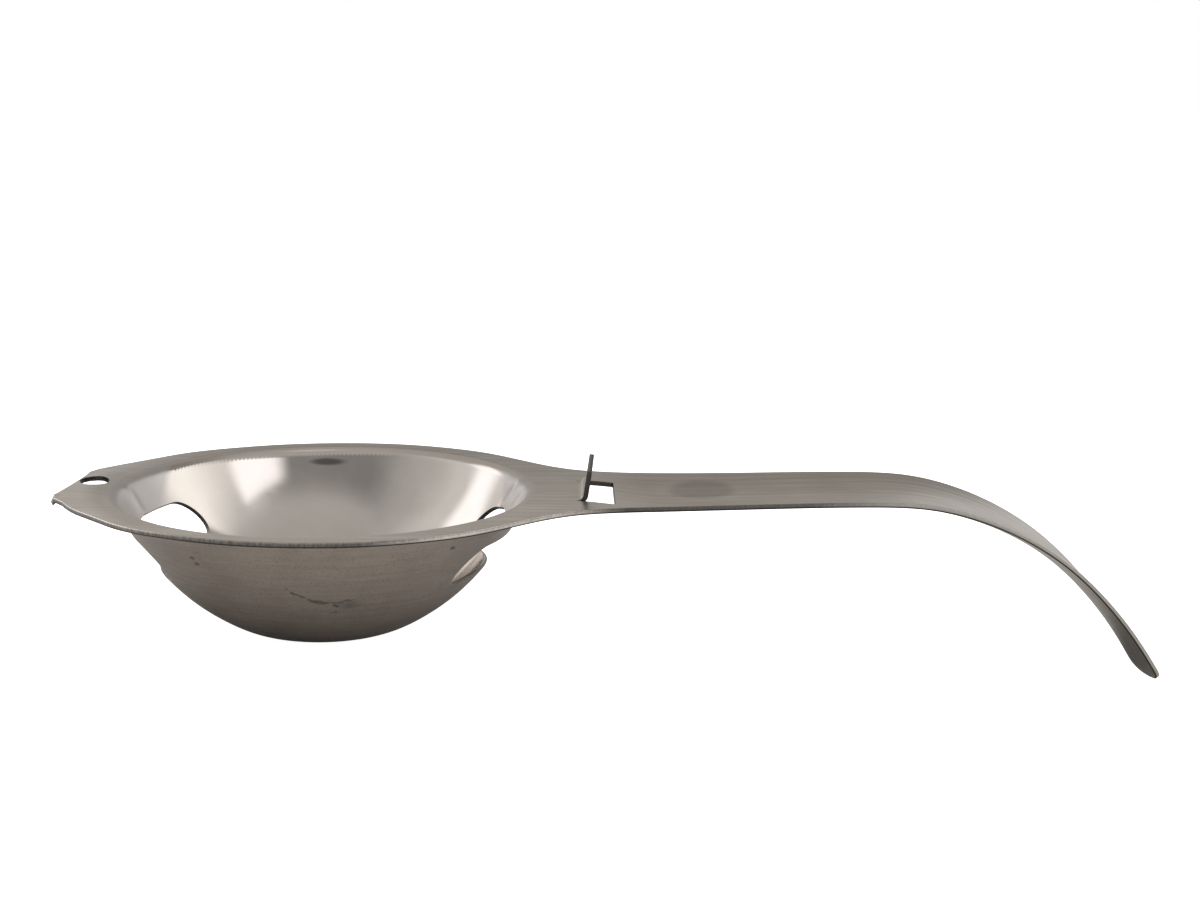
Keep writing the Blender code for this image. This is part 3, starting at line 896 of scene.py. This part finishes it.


# Colours of the bowl's outside: its drawing marks, patches, shaded foot, grit, painted light on its flanks
# and scratches.
MARK_DARK, MARK_LIGHT = (0.475, 0.413, 0.362), (0.54, 0.475, 0.42)
PATCH = (0.41, 0.355, 0.31)
FOOT = (0.2, 0.17, 0.15)
GRIT = (0.17, 0.145, 0.125)
FLANK_SHEEN = (0.66, 0.61, 0.58)
SCRATCH = (0.09, 0.08, 0.072)
# Colours of its inside: the polish, painted shade on the bend and on the lands, and a painted dark
# reflection.
POLISH_DARK, POLISH_LIGHT = (0.612, 0.56, 0.508), (0.64, 0.59, 0.54)
BEND_SHADE = (0.565, 0.52, 0.472)
DARK_REFLECTION = (0.12, 0.1, 0.09)
LAND_SHADE = (0.54, 0.51, 0.48)
# Outside, in design millimetres: small specks, the crack, its two branches with their widths, and the
# grime round them.
SPECKS = [(-18.5, -29.1, -5.7), (-17.8, -28.8, -6.8), (24.5, -25.1, -4.7)]
SPECK_RADII = (0.7, 1.2, 0.5)
CRACK = [(-2.9, -31.5, -10.5), (-0.6, -30.6, -11.9), (2.2, -29.5, -13.3), (4.7, -28.9, -13.6),
         (6.4, -27.2, -15.3)]
CRACK_WIDTH = 0.5
CRACK_WANDER = 2.4
CRACK_BRANCHES = [((4.7, -28.9, -13.6), (7.8, -28.8, -12.9), 0.45),
                  ((4.4, -27.0, -15.6), (8.1, -27.0, -15.0), 0.4)]
GRIME_AT = (7.3, -27.8, -14.0)
GRIME_RADII = (2.4, 2.4, 2.0)
# The stain on the handle, and the painted dark reflection inside the bowl under the far rim.
STAIN_AT, STAIN_RADII = (68.4, 5.0, -1.2), (7.4, 6.6, 4.0)
DARK_REFLECTION_AT, DARK_REFLECTION_RADII = (-3.5, 35.0, -2.6), (4.6, 1.6, 0.9)


def drawn_steel():
    """Polished inside but for the lands, dull and grimy outside with drawing marks round the bowl."""
    material, tree, shader = new_material("drawn_steel_sheet")
    where = attribute(tree, "design", "Vector")
    grain = attribute(tree, "grain", "Vector")
    upper = attribute(tree, "upper")
    fine = noise(tree, stretched(tree, grain, (0.12, 0.12, 5.5)), 1.0, 4.0, 0.65)
    broad = noise(tree, stretched(tree, grain, (0.09, 0.09, 0.9)), 1.0, 3.0, 0.6)
    clouds = noise(tree, where, 0.14, 4.0, 0.6)
    grit = noise(tree, where, 2.6, 3.0, 0.65)
    # Outside: brownish satin, darker in patches.
    tone = maths(tree, "ADD", maths(tree, "MULTIPLY", fine, 0.4), maths(tree, "MULTIPLY", broad, 0.6))
    outside = mix(tree, ramp(tree, tone, 0.36, 0.64), MARK_DARK, MARK_LIGHT)
    outside = mix(tree, ramp(tree, clouds, 0.42, 0.66, 0, 0.5), outside, PATCH)
    level = part(tree, where, "Z")
    outside = mix(tree, ramp(tree, level, -14, -26, 0, 0.6), outside, FOOT)
    outside = mix(tree, ramp(tree, grit, 0.54, 0.72, 0, 0.5), outside, GRIT)
    # Painted light: lighter towards both ends of the bowl's outside.
    sideways = maths(tree, "ABSOLUTE", part(tree, where, "X"))
    outside = mix(tree, ramp(tree, sideways, 16, 34, 0, 0.4), outside, FLANK_SHEEN)
    marks = [spot(tree, where, centre, SPECK_RADII, 0.6) for centre in SPECKS]
    wander = add(tree, "ShaderNodeTexNoise", {"Vector": where, "Scale": 0.5, "Detail": 3.0})
    shifted = scaled(tree, vectors(tree, "SUBTRACT", wander.outputs["Color"], MIDDLE), CRACK_WANDER)
    warped = vectors(tree, "ADD", where, shifted)
    marks += [stroke(tree, warped, a, b, CRACK_WIDTH) for a, b in zip(CRACK, CRACK[1:])]
    marks += [stroke(tree, warped, *branch) for branch in CRACK_BRANCHES]
    marks.append(maths(tree, "MULTIPLY", spot(tree, warped, GRIME_AT, GRIME_RADII, 0.9), 0.55))
    outside = mix(tree, maths(tree, "MULTIPLY", largest(tree, marks), 0.6), outside, SCRATCH)
    # Inside: bright polish with faint haze.
    polish = mix(tree, ramp(tree, clouds, 0.35, 0.65), POLISH_DARK, POLISH_LIGHT)
    bend = ramp(tree, mouth_distance(tree, where), 35.6, 37.5)
    # Painted shade: darker on the bend at the mouth.
    polish = mix(tree, bend, polish, BEND_SHADE)
    # Painted reflection: a dark smear on the bowl's inside just under the far rim.
    dark_reflection = spot(tree, where, DARK_REFLECTION_AT, DARK_REFLECTION_RADII, 0.6)
    polish = mix(tree, maths(tree, "MULTIPLY", dark_reflection, 0.75), polish, DARK_REFLECTION)
    haze = ramp(tree, clouds, 0.4, 0.7, 0.09, 0.15)
    haze = maths(tree, "ADD", haze, maths(tree, "MULTIPLY", bend, 0.18))
    # The two narrow lands between slot and mouth are rougher than the polish, and darkened with painted
    # shade.
    land = maths(tree, "MULTIPLY", ramp(tree, sideways, 30.6, 32.2), ramp(tree, level, -8.5, -6.5))
    haze = maths(tree, "ADD", haze, maths(tree, "MULTIPLY", land, 0.22))
    polish = mix(tree, land, polish, LAND_SHADE)
    colour = mix(tree, upper, outside, polish)
    satin = ramp(tree, tone, 0.3, 0.7, 0.44, 0.34)
    rough = maths(tree, "ADD", satin, maths(tree, "MULTIPLY", maths(tree, "SUBTRACT", haze, satin), upper))
    colour, rough = cut_edge(tree, where, colour, rough)
    tree.links.new(colour, shader.inputs["Base Color"])
    tree.links.new(rough, shader.inputs["Roughness"])
    height_map = maths(tree, "ADD", fine, maths(tree, "MULTIPLY", grit, 0.5))
    relief = maths(tree, "MULTIPLY", upper, -0.08)
    add_bump(tree, shader, height_map, maths(tree, "ADD", relief, 0.1))
    return material


# ---- The pieces

NAMES = {
    "strainer_bowl": ("drawn_bowl", "drawn_steel"),
    "left_rim": ("near_rim", "satin_steel"),
    "right_rim": ("far_rim", "satin_steel"),
    "front_lip": ("horned_lip", "satin_steel"),
    "handle_root": ("handle_neck", "satin_steel"),
    "handle_grip": ("handle_end", "satin_steel"),
    "rest_tab": ("standing_tab", "satin_steel"),
}


def build_pieces(pose):
    """One visible piece for each CAD node, which it replaces."""
    sheet = build_sheet()
    materials = {"drawn_steel": drawn_steel(), "satin_steel": satin_steel()}
    for node, (name, finish) in NAMES.items():
        piece = make_piece(sheet, node, name, pose, materials[finish])
        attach(piece, "root")
        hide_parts(node)


# ---- Floor, light and camera

# Camera in the design frame: its place in millimetres and its angles.
CAMERA_AT = Vector((42.64, -349.58, 77.88))
CAMERA_DOWN = math.radians(11.42)
CAMERA_YAW = math.radians(1.14)
CAMERA_ROLL = math.radians(-0.68)
LENS = 59.52


def add_camera(pose):
    data = bpy.data.cameras.new("camera")
    data.lens = LENS
    data.sensor_width = 36
    data.clip_start = 0.01
    camera = bpy.data.objects.new("camera", data)
    bpy.context.scene.collection.objects.link(camera)
    bpy.context.scene.camera = camera
    level = Vector((math.cos(CAMERA_YAW), -math.sin(CAMERA_YAW), 0))
    ahead = Vector((math.cos(CAMERA_DOWN) * math.sin(CAMERA_YAW),
                    math.cos(CAMERA_DOWN) * math.cos(CAMERA_YAW),
                    -math.sin(CAMERA_DOWN)))
    above = level.cross(ahead)
    right = math.cos(CAMERA_ROLL) * level - math.sin(CAMERA_ROLL) * above
    up = math.sin(CAMERA_ROLL) * level + math.cos(CAMERA_ROLL) * above
    turn = Matrix((right, up, -ahead)).transposed().to_4x4()
    camera.matrix_world = pose @ Matrix.Translation(CAMERA_AT * MM) @ turn


def add_softbox(name, azimuth, elevation, distance, size, power):
    """Area light aimed at the bowl. Azimuth 0 is +Y and 90 is +X."""
    data = bpy.data.lights.new(name, "AREA")
    data.shape = "RECTANGLE"
    data.size, data.size_y = size
    data.energy = power
    light = bpy.data.objects.new(name, data)
    bpy.context.scene.collection.objects.link(light)
    a, e = math.radians(azimuth), math.radians(elevation)
    away = Vector((math.sin(a) * math.cos(e), math.cos(a) * math.cos(e), math.sin(e)))
    target = Vector(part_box("strainer_bowl")[1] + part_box("strainer_bowl")[0]) / 2
    light.location = target + away * distance
    light.rotation_euler = away.to_track_quat("Z", "Y").to_euler()
    light.visible_camera = False
    light.visible_glossy = False


def add_floor():
    """Pale floor. The camera sees it nearly white, and the steel sees it as a dull grey."""
    data = bpy.data.meshes.new("floor")
    mesh = bmesh.new()
    bmesh.ops.create_grid(mesh, x_segments=1, y_segments=1, size=6)
    mesh.to_mesh(data)
    mesh.free()
    floor = bpy.data.objects.new("floor", data)
    bpy.context.scene.collection.objects.link(floor)
    floor.location.z = -0.0002
    material = bpy.data.materials.new("pale_floor")
    material.use_nodes = True
    tree = material.node_tree
    tree.nodes.clear()
    seen = add(tree, "ShaderNodeLightPath").outputs["Is Camera Ray"]
    pale = add(tree, "ShaderNodeBsdfDiffuse", {"Color": (0.9, 0.9, 0.9, 1)}).outputs[0]
    glow = add(tree, "ShaderNodeEmission", {"Color": (1, 1, 1, 1), "Strength": 0.95}).outputs[0]
    bright = add(tree, "ShaderNodeAddShader", {0: pale, 1: glow}).outputs[0]
    dimmer = add(tree, "ShaderNodeBsdfDiffuse", {"Color": (0.5, 0.49, 0.48, 1)}).outputs[0]
    surface_out = add(tree, "ShaderNodeMixShader", {0: seen, 1: dimmer, 2: bright}).outputs[0]
    add(tree, "ShaderNodeOutputMaterial", {"Surface": surface_out})
    data.materials.append(material)


# Brightness of the studio's lit walls by azimuth: 0 is behind the spoon, 90 is at the handle's end.
LIT_WALLS = [(-180, 0.6), (-150, 0.58), (-125, 0.55), (-110, 0.6), (-100, 0.7), (-88, 0.86), (-40, 0.9),
             (-28, 0.7), (-16, 0.5), (4, 0.46), (11, 0.8), (36, 0.8), (50, 0.92), (60, 1.45), (72, 1.55),
             (84, 1.35), (98, 1.2), (112, 1.1), (135, 0.75), (160, 0.62), (180, 0.6)]
# Elevation at which the lit walls end, by azimuth.
WALL_ENDS = [(-180, 116), (-30, 2), (0, -20), (5, -4), (11, 13), (20, 18), (60, 31), (80, 60), (180, 160)]
# Softboxes: the azimuths and the elevations where each starts, is full, fades and ends.
SOFTBOXES = [((102, 112, 137, 152), (36, 41, 48.2, 50.2)),
             ((-80, -71, -57, -46), (12, 19, 31, 37)),
             ((-44, -38, -20, -14), (-2, 0, 5, 8))]
SOFTBOX_LIGHT = (1.72, 1.72, 1.8)
FADED_WALL = (0.6, 0.6, 0.6)
LEFT_DARKNESS, RIGHT_DARKNESS = (0.52, 0.5, 0.474), (0.31, 0.3, 0.283)
DIM_BAND = (0.3, 0.3, 0.3)
CEILING = (0.55, 0.54, 0.53)
WHITE = (1.0, 1.0, 1.0)


def add_world():
    """White to the camera. To everything else, a studio whose lit walls end in a slanting line on each
    side, with darkness above, a dim band behind the camera, a grey ceiling and softboxes."""
    world = bpy.data.worlds.new("studio")
    bpy.context.scene.world = world
    world.use_nodes = True
    tree = world.node_tree
    tree.nodes.clear()
    seen = add(tree, "ShaderNodeLightPath").outputs["Is Camera Ray"]
    direction = add(tree, "ShaderNodeTexCoord").outputs["Generated"]
    parts = add(tree, "ShaderNodeSeparateXYZ", {0: direction}).outputs
    degrees = 180 / math.pi
    up = maths(tree, "MULTIPLY", maths(tree, "ARCSINE", parts["Z"]), degrees)
    azimuth = maths(tree, "MULTIPLY", maths(tree, "ARCTAN2", parts["X"], parts["Y"]), degrees)
    level = curve(tree, azimuth, LIT_WALLS)
    # The right wall fades out softly upwards.
    fade = maths(tree, "MULTIPLY", ramp(tree, azimuth, 62, 76), ramp(tree, up, 34, 58))
    level = mix(tree, fade, level, FADED_WALL)
    # Dark above the slanting ends of the lit walls.
    above = ramp(tree, maths(tree, "SUBTRACT", up, curve(tree, azimuth, WALL_ENDS)), -3, 3)
    darkness = mix(tree, ramp(tree, azimuth, -24, 36), LEFT_DARKNESS, RIGHT_DARKNESS)
    level = mix(tree, above, level, darkness)
    behind = ramp(tree, maths(tree, "ABSOLUTE", azimuth), 118, 150)
    dim = maths(tree, "MULTIPLY", window(tree, up, 36, 43, 47, 58), behind)
    level = mix(tree, dim, level, DIM_BAND)
    level = mix(tree, ramp(tree, up, 50, 70), level, CEILING)
    boxes = [maths(tree, "MULTIPLY", window(tree, azimuth, *across), window(tree, up, *upwards))
             for across, upwards in SOFTBOXES]
    boxes.append(ramp(tree, up, 80, 86, 0, 0.3))
    for box in boxes:
        level = mix(tree, box, level, SOFTBOX_LIGHT)
    colour = mix(tree, seen, level, WHITE)
    background = add(tree, "ShaderNodeBackground", {"Color": colour, "Strength": 1.0}).outputs[0]
    add(tree, "ShaderNodeOutputWorld", {"Surface": background})


def add_studio(pose):
    add_world()
    add_floor()
    add_softbox("overhead_softbox", azimuth=160, elevation=75, distance=0.9, size=(1.2, 1.2), power=5.0)
    bpy.context.scene.view_settings.view_transform = "Standard"
    add_camera(pose)


rest = rest_pose()
build_pieces(rest)
add_studio(rest)
